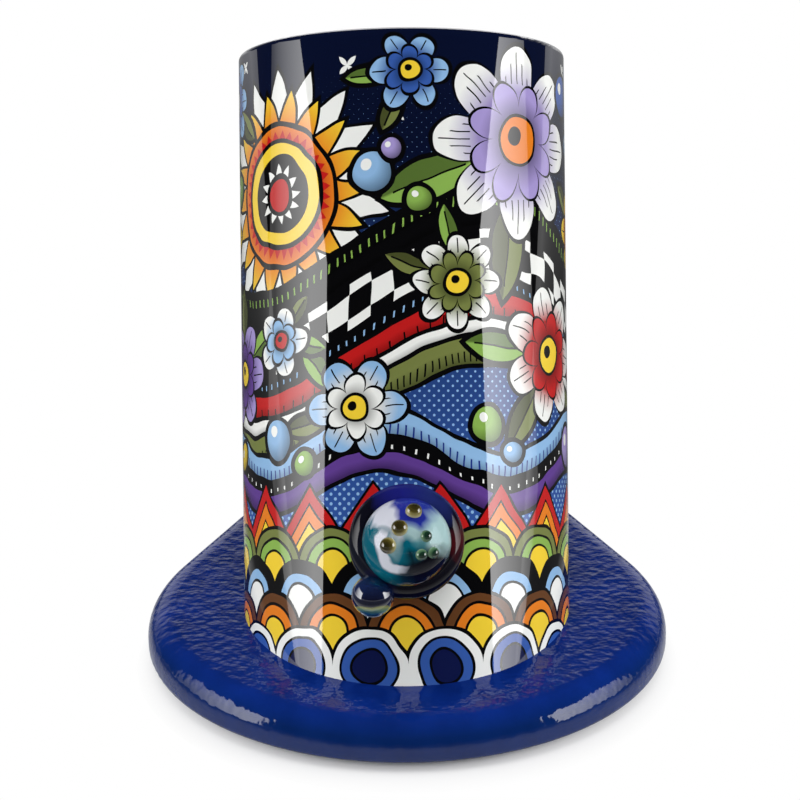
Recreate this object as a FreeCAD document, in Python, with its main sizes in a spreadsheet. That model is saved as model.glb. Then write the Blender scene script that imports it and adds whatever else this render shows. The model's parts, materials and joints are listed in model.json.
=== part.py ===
import FreeCAD, Part
import Sketcher
import math
import os
import re

doc = FreeCAD.newDocument("leaning_vaporizer")
sheet = doc.addObject("Spreadsheet::Sheet", "Sizes")

# Driving dimensions, in millimetres and degrees. "Depth" runs from the front wall to the rear wall,
# square to the tube's own axis, and "height" runs along that axis from the base plate's top.
SIZES = {
    # base
    "lean_angle": 23.5,
    "pad_thickness": 2.0,
    "pad_inset": 8.0,
    "base_radius": 71.1,
    "base_thickness": 11.0,
    "base_shift": 1.5,
    "base_tail_radius": 44.0,
    "base_tail_reach": 68.5,
    "base_edge_round": 7.5,
    "base_bottom_round": 2.0,
    "base_screw_radius": 2.0,
    "base_head_radius": 3.6,
    "base_head_height": 4.0,
    "base_head_sink": 1.0,
    "base_screw_x": 24.0,
    "base_screw_y": 25.0,
    "screw_end_gap": 1.0,
    "flange_thickness": 8.0,
    "flange_opening": 20.0,
    "set_screw_radius": 1.5,
    "set_screw_length": 8.0,
    "set_screw_x": 12.0,
    "set_screw_sink": 0.6,
    # tube and top
    "tube_radius": 44.45,
    "tube_wall": 3.0,
    "tube_length": 149.3,
    "tube_rim_round": 1.5,
    "rim_ledge": 1.2,
    "plate_thickness": 4.0,
    "plate_recess": 0.5,
    "plate_screw_x": 18.0,
    "plate_screw_depth": 16.0,
    "small_screw_radius": 1.5,
    "small_head_radius": 2.8,
    "small_head_height": 2.0,
    "vent_radius": 2.0,
    "vent_pitch": 9.0,
    "vent_height": 72.0,
    # fits
    "fit_clearance": 0.05,
    "head_clearance": 0.25,
    "seat_clearance": 0.02,
    # chassis and heater
    "chassis_depth": 4.0,
    "chassis_thickness": 2.0,
    "chassis_half_width": 32.0,
    "chassis_drop": 100.8,
    "chassis_tab": 20.0,
    "lead_hole_radius": 9.0,
    "lead_hole_drop": 12.8,
    "heater_drop": 36.8,
    "heater_block_radius": 11.0,
    "heater_block_length": 12.0,
    "heater_block_floor": 2.0,
    "heater_screw_x": 7.0,
    "heater_screw_bite": 5.0,
    "heater_rod_radius": 4.5,
    "heater_rod_round": 1.2,
    "sleeve_radius": 10.0,
    "sleeve_wall": 2.2,
    "sleeve_reach": 34.0,
    "outlet_radius": 9.5,
    "outlet_shoulder": 3.0,
    "sleeve_tail": 17.0,
    "mouth_depth": 14.0,
    "collar_radius": 13.5,
    "collar_flange_radius": 17.0,
    "collar_proud": 6.0,
    "collar_nut_height": 5.0,
    "collar_nut_radius": 18.0,
    "saddle_radius": 18.0,
    "saddle_thickness": 12.0,
    "seal_section": 1.4,
    "seal_groove_width": 2.2,
    "seal_spacing": 13.0,
    # cord entry
    "gland_height": 56.0,
    "gland_radius": 5.5,
    "gland_bore": 3.25,
    "gland_flange_radius": 8.0,
    "gland_lip_radius": 6.8,
    "gland_proud": 4.5,
    "gland_inner": 7.0,
    # rotary control
    "knob_height": 17.8,
    "bushing_radius": 4.5,
    "bushing_proud": 6.5,
    "control_saddle_thickness": 5.5,
    "control_radius": 9.5,
    "control_plate": 2.0,
    "control_length": 12.0,
    "control_wall": 1.5,
    "shaft_radius": 3.0,
    "shaft_end": 66.0,
    "wiper_radius": 7.0,
    "wiper_thickness": 2.0,
    "wiper_gap": 2.0,
    "washer_radius": 8.0,
    "washer_thickness": 2.0,
    "control_nut_radius": 7.0,
    "control_nut_height": 2.5,
    # knob
    "knob_gap": 2.6,
    "skirt_radius": 14.6,
    "skirt_thickness": 11.0,
    "skirt_round": 4.6,
    "dome_radius": 11.2,
    "knob_recess_radius": 9.2,
    "knob_recess_depth": 5.4,
    "insert_radius": 5.5,
    "bead_radius": 5.4,
    "bead_offset": 15.9,
    "bead_angle": 32.7,
    "bead_depth": 8.5,
    "large_dot_radius": 2.1,
    "small_dot_radius": 1.5,
    # control board
    "board_depth": 8.4,
    "board_thickness": 1.6,
    "board_half_width": 26.0,
    "board_drop": 94.8,
    "board_length": 66.0,
    "board_screw_inset": 4.0,
    "standoff_radius": 2.6,
    "board_screw_bite": 5.0,
    "heatsink_half_width": 14.0,
    "heatsink_base": 3.0,
    "heatsink_fin": 13.0,
    "heatsink_fin_thickness": 1.5,
    "heatsink_height": 26.0,
    "heatsink_foot": 28.0,
    "triac_left": -3.0,
    "triac_foot": 10.0,
    "triac_width": 10.0,
    "triac_height": 15.0,
    "triac_thickness": 4.5,
    "choke_radius": 7.0,
    "choke_section": 3.2,
    "capacitor_foot": 9.0,
    "capacitor_width": 14.0,
    "capacitor_height": 16.0,
    "capacitor_thickness": 10.0,
    "choke_foot": 6.0,
    "parts_inset": 1.5,
    "terminal_half_width": 14.0,
    "terminal_height": 8.5,
    "terminal_thickness": 8.0,
    "terminal_foot": 55.5,
    "lead_radius": 1.2,
    "lead_bend": 6.0,
    "lead_spacing": 5.0,
    "control_lead_radius": 0.8,
}

# Lengths that follow from the driving dimensions
DERIVED = {
    "base_top": "(pad_thickness + base_thickness)",
    "tube_bore": "(tube_radius - tube_wall)",
    "mitre_drop": "(tube_radius * tan(lean_angle))",
    "flange_middle": "(flange_thickness / 2 * tan(lean_angle))",
    "set_screw_middle": "(tube_bore - set_screw_length / 2)",
    "set_screw_height": "(flange_thickness / 2 / cos(lean_angle) + set_screw_middle * tan(lean_angle))",
    "plate_top": "(tube_length - plate_recess)",
    "plate_under": "(plate_top - plate_thickness)",
    "chassis_foot": "(plate_under - chassis_drop)",
    "lead_hole_height": "(plate_under - lead_hole_drop)",
    "heater_height": "(plate_under - heater_drop)",
    "board_foot": "(plate_under - board_drop)",
    "chassis_back": "(chassis_depth + chassis_thickness)",
    "block_back": "(chassis_back + heater_block_length)",
    "sleeve_end": "(tube_radius + sleeve_reach)",
    "sleeve_start": "(tube_radius - sleeve_tail)",
    "collar_face": "(tube_radius + collar_proud)",
    "outlet_start": "(collar_face + outlet_shoulder)",
    "saddle_start": "(tube_bore - saddle_thickness)",
    "collar_start": "(saddle_start - collar_nut_height)",
    "groove_radius": "(sleeve_radius + seal_section)",
    "control_face": "(tube_bore - control_saddle_thickness)",
    "control_back": "(control_face - control_plate - control_length)",
    "bushing_end": "(tube_radius + bushing_proud)",
    "washer_face": "(tube_radius + washer_thickness)",
    "knob_back": "(tube_radius + knob_gap)",
    "skirt_face": "(knob_back + skirt_thickness)",
    "insert_back": "(knob_back + knob_recess_depth)",
    "wiper_face": "(control_face - control_plate - wiper_gap)",
    "board_face": "(board_depth + board_thickness)",
    "board_top": "(board_foot + board_length)",
    "standoff_x": "(board_half_width - board_screw_inset)",
}

for row, (alias, number) in enumerate(SIZES.items(), start=1):
    sheet.set("A%d" % row, alias)
    sheet.set("B%d" % row, "%g" % number)
    sheet.setAlias("B%d" % row, alias)
doc.recompute()


def bound(text):
    """Write a size expression in full, with derived lengths opened and the sheet named."""
    text = str(text)
    for name in reversed(list(DERIVED)):
        text = re.sub(r"\b%s\b" % name, lambda found: DERIVED[name], text)
    return re.sub(r"\b(%s)\b" % "|".join(SIZES), r"Sizes.\1", text)


def value(text):
    """Work out a size expression as a number, for shapes that are not bound to the sheet."""
    probe.setExpression("reading", bound(text))
    probe.recompute()
    return float(probe.reading)


probe = doc.addObject("App::FeaturePython", "Probe")
probe.addProperty("App::PropertyFloat", "reading")

LEAN = "placement(vector(0; 0; base_top); rotation(vector(1; 0; 0); -lean_angle)) * "
FRAMES = {"world": "", "tube": LEAN}
# Turns that lay a primitive's own Z axis along an axis of its frame
TURNS = {"Z": "rotation(vector(1; 0; 0); 0)", "Y": "rotation(vector(1; 0; 0); -90)",
         "-Y": "rotation(vector(1; 0; 0); 90)", "X": "rotation(vector(0; 1; 0); 90)"}


def place(part, frame, at, turn="Z"):
    """Bind a primitive's placement to a point of its frame."""
    point = "vector(%s; %s; %s)" % tuple(at)
    part.setExpression("Placement", bound(FRAMES[frame] + "placement(%s; %s)" % (point, TURNS[turn])))
    return part


def cylinder(name, frame, radius, length, at, turn="Z"):
    part = doc.addObject("Part::Cylinder", name)
    part.setExpression("Radius", bound(radius))
    part.setExpression("Height", bound(length))
    return place(part, frame, at, turn)


def rod(name, radius, start, end, x="0", height="0", side="Y"):
    """A cylinder square to the tube's axis, from one depth to another, towards the rear or the front."""
    sign = "" if side == "Y" else "-"
    length = "(%s) - (%s)" % (end, start)
    return cylinder(name, "tube", radius, length, (x, "%s(%s)" % (sign, start), height), side)


def box(name, frame, size, at):
    part = doc.addObject("Part::Box", name)
    for prop, length in zip(("Length", "Width", "Height"), size):
        part.setExpression(prop, bound(length))
    return place(part, frame, at)


def ball(name, radius, at, turn):
    """A ball in the tube's frame, its poles laid along an axis that keeps them off the cuts."""
    part = doc.addObject("Part::Sphere", name)
    part.setExpression("Radius", bound(radius))
    return place(part, "tube", at, turn)


def torus(name, frame, ring, section, at, turn="Y"):
    part = doc.addObject("Part::Torus", name)
    part.setExpression("Radius1", bound(ring))
    part.setExpression("Radius2", bound(section))
    return place(part, frame, at, turn)


def hexagon(name, radius, length, start, height, side="Y"):
    part = doc.addObject("Part::Prism", name)
    part.Polygon = 6
    part.setExpression("Circumradius", bound(radius))
    part.setExpression("Height", bound(length))
    sign = "" if side == "Y" else "-"
    return place(part, "tube", ("0", "%s(%s)" % (sign, start), height), side)


def fuse(name, *parts):
    joined = doc.addObject("Part::MultiFuse", name)
    joined.Shapes = list(parts)
    return joined


def common(name, *parts):
    shared = doc.addObject("Part::MultiCommon", name)
    shared.Shapes = list(parts)
    return shared


def cut(name, base, *tools):
    result = doc.addObject("Part::Cut", name)
    result.Base = base
    result.Tool = tools[0] if len(tools) == 1 else fuse(name + "_tools", *tools)
    return result


def group(name, parts):
    members = doc.addObject("Part::Compound", name)
    members.Links = list(parts)
    return members


def rounded(name, base, radius_of_edge):
    """Round the edges for which radius_of_edge gives a radius."""
    doc.recompute()
    result = doc.addObject("Part::Fillet", name)
    result.Base = base
    chosen = []
    for number, edge in enumerate(base.Shape.Edges, start=1):
        radius = radius_of_edge(edge)
        if radius:
            chosen.append((number, radius, radius))
    result.Edges = chosen
    return result


def ends_of(part, near=0.0, far=0.0):
    """Radii for a cylinder's own start and end edges."""
    place_of = part.Placement
    axis = place_of.Rotation.multVec(FreeCAD.Vector(0, 0, 1))
    middle = part.Height.Value / 2

    def radius_of_edge(edge):
        if not edge.isClosed():
            return 0.0
        return far if (edge.CenterOfMass - place_of.Base).dot(axis) > middle else near
    return radius_of_edge


def lead(points, radius, bend):
    """A wire through points of the tube's frame, with a round bend at each inner point."""
    corners = [FreeCAD.Vector(*(value(number) for number in point)) for point in points]
    edges = []
    start = corners[0]
    for before, corner, after in zip(corners, corners[1:], corners[2:]):
        towards = (before - corner).normalize()
        away = (after - corner).normalize()
        half = towards.getAngle(away) / 2
        trim = bend / math.tan(half)
        first = corner + towards * trim
        last = corner + away * trim
        bisector = (towards + away).normalize()
        middle = corner + bisector * (bend / math.sin(half) - bend)
        edges.append(Part.makeLine(start, first))
        edges.append(Part.Arc(first, middle, last).toShape())
        start = last
    edges.append(Part.makeLine(start, corners[-1]))
    ring = Part.Wire(Part.makeCircle(radius, corners[0], corners[1] - corners[0]))
    return Part.Wire(edges).makePipeShell([ring], True, False)


def lead_group(name, shapes):
    part = doc.addObject("Part::Feature", name)
    part.Shape = Part.makeCompound(shapes)
    part.Placement = FreeCAD.Placement(FreeCAD.Vector(0, 0, value("base_top")),
                                       FreeCAD.Rotation(FreeCAD.Vector(1, 0, 0), -value("lean_angle")))
    return part


NODES = []


def node(part, label=None):
    """Keep a finished sub-part under its node name."""
    part.Label = label or part.Name
    NODES.append(part)
    return part


SIDES = (("left", "-"), ("right", ""))
CORNERS = [(across + ahead, sx, sy) for across, sx in SIDES for ahead, sy in (("_front", "-"), ("_rear", ""))]
BASE_SCREWS = [(key, "%sbase_screw_x" % sx, "flange_middle %s base_screw_y" % (sy or "+"))
               for key, sx, sy in CORNERS]
SPAN = "(4 * tube_radius)"
SMALL_FIT = "small_screw_radius + fit_clearance"
BASE_FIT = "base_screw_radius + fit_clearance"
BUSHING_FIT = "bushing_radius + fit_clearance"
HEAD_FIT = "base_head_radius + head_clearance"
SINK_FIT = "small_head_radius + head_clearance"


def plane_of(body, role):
    """One of a body's own origin planes."""
    return next(item for item in body.Origin.OriginFeatures if item.Role == role)


def pick_shape(name, inset, bottom, thickness):
    """A plate with a wide round front and straight sides that run back to a smaller round tail."""
    body = doc.addObject("PartDesign::Body", name)
    sketch = body.newObject("Sketcher::SketchObject", name + "_outline")
    sketch.AttachmentSupport = [(plane_of(body, "XY_Plane"), "")]
    sketch.MapMode = "FlatFace"
    wide = value("base_radius - %s" % inset)
    narrow = value("base_tail_radius - %s" % inset)
    front_y = value("base_shift")
    tail_y = front_y + value("base_tail_reach")
    taper = math.asin((wide - narrow) / (tail_y - front_y))
    up = FreeCAD.Vector(0, 0, 1)

    def on_round(radius, middle, side):
        return FreeCAD.Vector(side * radius * math.cos(taper), middle + radius * math.sin(taper), 0)

    front_round = Part.Circle(FreeCAD.Vector(0, front_y, 0), up, wide)
    tail_round = Part.Circle(FreeCAD.Vector(0, tail_y, 0), up, narrow)
    front_arc = sketch.addGeometry(Part.ArcOfCircle(front_round, math.pi - taper, 2 * math.pi + taper))
    right = sketch.addGeometry(Part.LineSegment(on_round(wide, front_y, 1), on_round(narrow, tail_y, 1)))
    tail_arc = sketch.addGeometry(Part.ArcOfCircle(tail_round, taper, math.pi - taper))
    left = sketch.addGeometry(Part.LineSegment(on_round(narrow, tail_y, -1), on_round(wide, front_y, -1)))
    start, end, middle = 1, 2, 3
    x_axis, y_axis = -1, -2
    loop = (front_arc, right, tail_arc, left)
    for piece, following in zip(loop, loop[1:] + loop[:1]):
        sketch.addConstraint(Sketcher.Constraint("Tangent", piece, end, following, start))
    rounds = ((front_arc, "wide", "base_radius", "base_shift"),
              (tail_arc, "narrow", "base_tail_radius", "base_shift + base_tail_reach"))
    for arc, label, radius, reach in rounds:
        sketch.addConstraint(Sketcher.Constraint("PointOnObject", arc, middle, y_axis))
        number = sketch.addConstraint(Sketcher.Constraint("Radius", arc, sketch.Geometry[arc].Radius))
        sketch.renameConstraint(number, label + "_radius")
        sketch.setExpression("Constraints.%s_radius" % label, bound("%s - %s" % (radius, inset)))
        number = sketch.addConstraint(Sketcher.Constraint("DistanceY", x_axis, start, arc, middle,
                                                          sketch.Geometry[arc].Center.y))
        sketch.renameConstraint(number, label + "_place")
        sketch.setExpression("Constraints.%s_place" % label, bound(reach))
    plate = body.newObject("PartDesign::Pad", name + "_plate")
    plate.Profile = sketch
    plate.setExpression("Length", bound(thickness))
    body.setExpression("Placement.Base.z", bound(bottom))
    doc.recompute()
    return body, plate


def round_rim(body, base, name, radius, height):
    """Round the rim of a plate at one height of its own body."""
    rim = ["Edge%d" % number for number, edge in enumerate(base.Shape.Edges, start=1)
           if abs(edge.BoundBox.ZMin - height) < 1e-6 and abs(edge.BoundBox.ZMax - height) < 1e-6]
    fillet = body.newObject("PartDesign::Fillet", name)
    fillet.Base = (base, rim)
    fillet.setExpression("Radius", bound(radius))
    doc.recompute()
    return fillet


# Base plate, its pad and the four screws that come up through both
pad = pick_shape("pad_sheet", "pad_inset", "0", "pad_thickness")[0]
pad_holes = [cylinder("pad_hole_" + key, "world", HEAD_FIT, "pad_thickness", (x, y, "0"))
             for key, x, y in BASE_SCREWS]
node(cut("non_slip_pad", pad, *pad_holes))

base_body, base_slab = pick_shape("base_body", "0", "pad_thickness", "base_thickness")
upper_rim = round_rim(base_body, base_slab, "upper_rim", "base_edge_round", value("base_thickness"))
round_rim(base_body, upper_rim, "lower_rim", "base_bottom_round", 0.0)
base_holes = []
base_screws = []
for key, x, y in BASE_SCREWS:
    sink = "base_head_height + base_head_sink"
    under = (x, y, "pad_thickness")
    base_holes.append(cylinder("base_hole_" + key, "world", BASE_FIT, "base_thickness", under))
    base_holes.append(cylinder("base_sink_" + key, "world", HEAD_FIT, sink, under))
    head = cylinder("base_head_" + key, "world", "base_head_radius", "base_head_height",
                    (x, y, "pad_thickness + base_head_sink"))
    shank = cylinder("base_shank_" + key, "world", "base_screw_radius",
                     "base_top + flange_thickness - screw_end_gap - pad_thickness - base_head_sink",
                     (x, y, "pad_thickness + base_head_sink"))
    base_screws.append(fuse("base_screw_" + key, head, shank))
node(cut("base_plate", base_body, *base_holes))
node(group("base_screws", base_screws))

# Foot flange: a slanted plug in the tube's mitred end, flat on the base plate
flange_core = cylinder("flange_core", "tube", "tube_bore - fit_clearance", SPAN, ("0", "0", "-%s / 2" % SPAN))
flange_slab = box("flange_slab", "world", (SPAN, SPAN, "flange_thickness"),
                  ("-%s / 2" % SPAN, "-%s / 2" % SPAN, "base_top"))
flange_hole = cylinder("flange_hole", "world", "flange_opening", "flange_thickness",
                       ("0", "flange_middle", "base_top"))
flange_threads = [cylinder("flange_thread_" + key, "world", BASE_FIT, "flange_thickness",
                           (x, y, "base_top")) for key, x, y in BASE_SCREWS]
set_holes = []
set_screws = []
for key, sign in SIDES:
    x = "%sset_screw_x" % sign
    outer = "sqrt(tube_radius ^ 2 - set_screw_x ^ 2) - set_screw_sink"
    inner = "%s - set_screw_length" % outer
    set_screws.append(rod("set_screw_" + key, "set_screw_radius", inner, outer, x, "set_screw_height"))
    set_holes.append(rod("set_hole_" + key, "set_screw_radius + fit_clearance", inner, "tube_radius", x,
                         "set_screw_height"))
flange_plug = common("flange_plug", flange_core, flange_slab)
node(cut("foot_flange", flange_plug, flange_hole, *flange_threads, *set_holes))
node(group("flange_set_screws", set_screws))

# Tube housing: mitred at the foot, with a rounded rim, a ledge for the top plate and its wall holes
tube_outer = cylinder("tube_outer", "tube", "tube_radius", "tube_length + 2 * mitre_drop",
                      ("0", "0", "-2 * mitre_drop"))
doc.recompute()
tube_round = rounded("tube_round", tube_outer, ends_of(tube_outer, 0.0, value("tube_rim_round")))
tube_inside = cylinder("tube_inside", "tube", "tube_bore", "tube_length + 3 * mitre_drop",
                       ("0", "0", "-3 * mitre_drop"))
tube_ledge = cylinder("tube_ledge", "tube", "tube_bore + rim_ledge", "tube_length - plate_under",
                      ("0", "0", "plate_under"))
mitre = box("mitre", "world", (SPAN, SPAN, SPAN),
            ("-%s / 2" % SPAN, "-%s / 2" % SPAN, "base_top - %s" % SPAN))


def wall_hole(name, radius, x, height, side="Y"):
    """A hole through the tube's rear or front wall."""
    return rod(name, radius, "tube_bore / 2", "tube_radius + tube_wall", x, height, side)


wall_holes = [wall_hole("control_hole", BUSHING_FIT, "0", "knob_height", "-Y"),
              wall_hole("heater_hole", "collar_radius + fit_clearance", "0", "heater_height"),
              wall_hole("gland_hole", "gland_radius + fit_clearance", "0", "gland_height")]
for place_no in (-2, -1, 0, 1, 2):
    name = "vent_%d" % (place_no + 3)
    wall_holes.append(wall_hole(name, "vent_radius", "%d * vent_pitch" % place_no, "vent_height"))
node(cut("tube_housing", tube_round, tube_inside, tube_ledge, mitre, *wall_holes, *set_holes))

# Top plate on the tube's ledge, and the chassis that hangs from it
plate = cylinder("plate_disc", "tube", "tube_bore + rim_ledge - fit_clearance", "plate_thickness",
                 ("0", "0", "plate_under"))
chassis_wall = box("chassis_wall", "tube",
                   ("2 * chassis_half_width", "chassis_thickness", "plate_under - chassis_foot"),
                   ("-chassis_half_width", "chassis_depth", "chassis_foot"))
chassis_tab = box("chassis_tab_plate", "tube", ("2 * chassis_half_width", "chassis_tab", "chassis_thickness"),
                  ("-chassis_half_width", "chassis_depth", "plate_under - chassis_thickness"))
plate_holes = []
tab_holes = []
top_screws = []
for key, sign in SIDES:
    x = "%splate_screw_x" % sign
    plate_holes.append(cylinder("plate_hole_" + key, "tube", SMALL_FIT, "plate_thickness",
                                (x, "plate_screw_depth", "plate_under")))
    plate_holes.append(cylinder("plate_sink_" + key, "tube", SINK_FIT, "small_head_height",
                                (x, "plate_screw_depth", "plate_top - small_head_height")))
    tab_holes.append(cylinder("tab_hole_" + key, "tube", SMALL_FIT, "chassis_thickness",
                              (x, "plate_screw_depth", "plate_under - chassis_thickness")))
    head = cylinder("top_head_" + key, "tube", "small_head_radius", "small_head_height",
                    (x, "plate_screw_depth", "plate_top - small_head_height"))
    shank = cylinder("top_shank_" + key, "tube", "small_screw_radius",
                     "plate_thickness + chassis_thickness + screw_end_gap",
                     (x, "plate_screw_depth", "plate_under - chassis_thickness - screw_end_gap"))
    top_screws.append(fuse("top_screw_" + key, head, shank))
node(cut("top_plate", plate, *plate_holes))
node(group("top_screws", top_screws))

heater_holes = []
block_holes = []
heater_screws = []
for key, sign in SIDES:
    x = "%sheater_screw_x" % sign
    heater_holes.append(rod("chassis_hole_" + key, SMALL_FIT, "chassis_depth",
                            "chassis_back", x, "heater_height"))
    block_holes.append(rod("block_hole_" + key, SMALL_FIT, "chassis_back",
                           "chassis_back + heater_screw_bite + screw_end_gap", x, "heater_height"))
    head = rod("heater_head_" + key, "small_head_radius", "chassis_depth - small_head_height",
               "chassis_depth", x, "heater_height")
    shank = rod("heater_shank_" + key, "small_screw_radius", "chassis_depth - small_head_height",
                "chassis_back + heater_screw_bite", x, "heater_height")
    heater_screws.append(fuse("heater_screw_" + key, head, shank))
lead_hole = rod("lead_hole", "lead_hole_radius", "chassis_depth", "chassis_back", "0", "lead_hole_height")
chassis_angle = fuse("chassis_angle", chassis_wall, chassis_tab)
node(cut("chassis_plate", chassis_angle, lead_hole, *tab_holes, *heater_holes))
node(group("heater_screws", heater_screws))


# Heater: a ceramic rod in its block, inside a glass sleeve that comes out of the rear wall
def rear(name, radius, start, end):
    """A cylinder on the heater's axis, from one depth to another towards the rear."""
    return rod(name, radius, start, end, "0", "heater_height")


block = rear("block_body", "heater_block_radius", "chassis_back", "block_back")
rod_seat = "chassis_back + heater_block_floor"
block_bore = rear("block_bore", "heater_rod_radius + fit_clearance", rod_seat, "block_back")
node(cut("heater_block", block, block_bore, *block_holes))
heater = rear("heater_body", "heater_rod_radius", rod_seat, "sleeve_end - mouth_depth")
doc.recompute()
node(rounded("heater_rod", heater, ends_of(heater, 0.0, value("heater_rod_round"))))

sleeve_body = rear("sleeve_body", "sleeve_radius", "sleeve_start", "outlet_start")
sleeve_outlet = rear("sleeve_outlet", "outlet_radius", "sleeve_start", "sleeve_end")
sleeve_bore = rear("sleeve_bore", "sleeve_radius - sleeve_wall", "sleeve_start", "sleeve_end")
node(cut("heater_sleeve", fuse("sleeve_solid", sleeve_body, sleeve_outlet), sleeve_bore))

wall_length = "tube_length + 2 * mitre_drop"
wall_outside = cylinder("wall_outside", "tube", "tube_radius + seat_clearance", wall_length,
                        ("0", "0", "-mitre_drop"))
wall_inside = cylinder("wall_inside", "tube", "tube_bore - seat_clearance", wall_length,
                       ("0", "0", "-mitre_drop"))
collar_disc = rear("collar_disc", "collar_flange_radius", "tube_bore / 2", "collar_face")
collar_flange = cut("collar_flange", collar_disc, wall_outside)
collar_body = rear("collar_body", "collar_radius", "collar_start", "collar_face")
collar_bore = rear("collar_bore", "sleeve_radius + fit_clearance", "collar_start", "collar_face")
seal_grooves = []
seals = []
for key, sign in (("inner", "-"), ("outer", "+")):
    middle = "(collar_start + collar_face) / 2 %s seal_spacing / 2" % sign
    seal_grooves.append(rear("seal_groove_" + key, "groove_radius", "%s - seal_groove_width / 2" % middle,
                            "%s + seal_groove_width / 2" % middle))
    seals.append(torus("seal_" + key, "tube", "sleeve_radius + seal_section / 2",
                       "seal_section / 2 - seat_clearance", ("0", middle, "heater_height")))
node(cut("heater_collar", fuse("collar_solid", collar_flange, collar_body), collar_bore, *seal_grooves))
node(group("sleeve_seals", seals))

saddle_disc = rear("saddle_disc", "saddle_radius", "saddle_start", "tube_radius")
saddle = common("saddle_solid", saddle_disc, wall_inside)
saddle_bore = rear("saddle_bore", "collar_radius + fit_clearance", "saddle_start", "tube_radius")
node(cut("collar_saddle", saddle, saddle_bore))
nut = hexagon("collar_nut_hex", "collar_nut_radius", "collar_nut_height", "collar_start", "heater_height")
nut_bore = rear("collar_nut_bore", "collar_radius + fit_clearance", "collar_start", "saddle_start")
node(cut("collar_nut", nut, nut_bore))

# Moulded bushing where the supply cord comes in
gland_end = "tube_radius + gland_proud"
gland_tail = "tube_bore - gland_inner"
gland_disc = rod("gland_disc", "gland_flange_radius", "tube_bore / 2", gland_end, "0", "gland_height")
gland_flange = cut("gland_flange", gland_disc, wall_outside)
gland_body = rod("gland_body", "gland_radius", gland_tail, gland_end, "0", "gland_height")
gland_lip_disc = rod("gland_lip_disc", "gland_lip_radius", gland_tail, "tube_radius", "0", "gland_height")
gland_lip = common("gland_lip", gland_lip_disc, wall_inside)
gland_bore = rod("gland_bore_hole", "gland_bore", "tube_bore / 2", gland_end, "0", "gland_height")
node(cut("cord_gland", fuse("gland_solid", gland_flange, gland_body, gland_lip), gland_bore))


# Rotary control: a saddle inside the wall, a saddle washer and nut outside it
def front(name, radius, start, end):
    """A cylinder on the knob's axis, from one depth to another towards the viewer."""
    return rod(name, radius, start, end, "0", "knob_height", "-Y")


inner_disc = front("inner_saddle_disc", "control_radius", "control_face", "tube_radius")
inner_bore = front("inner_saddle_bore", BUSHING_FIT, "control_face", "tube_radius")
node(cut("dimmer_saddle", common("inner_saddle", inner_disc, wall_inside), inner_bore))
bushing_start = "control_face - control_plate"
bushing = front("bushing_body", "bushing_radius", bushing_start, "bushing_end")
bushing_plate = front("bushing_plate", "control_radius", bushing_start, "control_face")
bushing_bore = front("bushing_bore", "shaft_radius + fit_clearance", bushing_start, "bushing_end")
node(cut("dimmer_bushing", fuse("bushing_solid", bushing, bushing_plate), bushing_bore))
cup = front("control_cup", "control_radius", "control_back", "control_face - control_plate")
cup_space = front("control_space", "control_radius - control_wall", "control_back + control_wall",
                  "control_face - control_plate")
node(cut("dimmer_body", cup, cup_space))
outer_disc = front("outer_saddle_disc", "washer_radius", "tube_bore / 2", "washer_face")
outer_bore = front("outer_saddle_bore", BUSHING_FIT, "tube_bore / 2", "washer_face")
node(cut("dimmer_washer", cut("outer_saddle", outer_disc, wall_outside), outer_bore))
control_nut = hexagon("control_nut_hex", "control_nut_radius", "control_nut_height", "washer_face",
                      "knob_height", "-Y")
control_nut_end = "washer_face + control_nut_height"
node(cut("dimmer_nut", control_nut, front("control_nut_bore", BUSHING_FIT, "washer_face", control_nut_end)))
shaft_tail = "wiper_face - 2 * wiper_thickness"
node(front("dimmer_shaft", "shaft_radius", shaft_tail, "shaft_end"))
wiper_start = "wiper_face - wiper_thickness"
wiper = front("wiper_disc", "wiper_radius", wiper_start, "wiper_face")
wiper_bore = front("wiper_bore", "shaft_radius + seat_clearance", wiper_start, "wiper_face")
node(cut("dimmer_wiper", wiper, wiper_bore))


# Glass knob: a rounded skirt and a clear dome on a brass insert, with a pointer bead fused to its edge
def knob_form(name, grow):
    """The knob's outer form, grown by a clearance."""
    skirt = front(name + "_skirt", "skirt_radius + " + grow, "knob_back - " + grow, "skirt_face + " + grow)
    doc.recompute()
    edge = value("skirt_round + " + grow)
    dome = ball(name + "_dome", "dome_radius + " + grow, ("0", "-skirt_face", "knob_height"), "-Y")
    return fuse(name, rounded(name + "_skirt_round", skirt, ends_of(skirt, edge, edge)), dome)


knob_solid = knob_form("knob_solid", "0")
knob_seat = knob_form("knob_seat", "seat_clearance")
knob_recess = front("knob_recess", "knob_recess_radius", "tube_radius", "insert_back")
insert_hole = front("insert_hole", "insert_radius + fit_clearance", "knob_back", "shaft_end + fit_clearance")
node(cut("knob_glass", knob_solid, knob_recess, insert_hole))
insert = front("insert_body", "insert_radius", "insert_back", "shaft_end")
insert_bore = front("insert_bore", "shaft_radius + seat_clearance", "insert_back", "shaft_end")
node(cut("knob_insert", insert, insert_bore))
bead_x = "-bead_offset * sin(bead_angle)"
bead_height = "knob_height - bead_offset * cos(bead_angle)"
bead = ball("bead_ball", "bead_radius", (bead_x, "-(knob_back + bead_depth)", bead_height), "Z")
node(cut("pointer_bead", bead, knob_seat))

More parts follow.
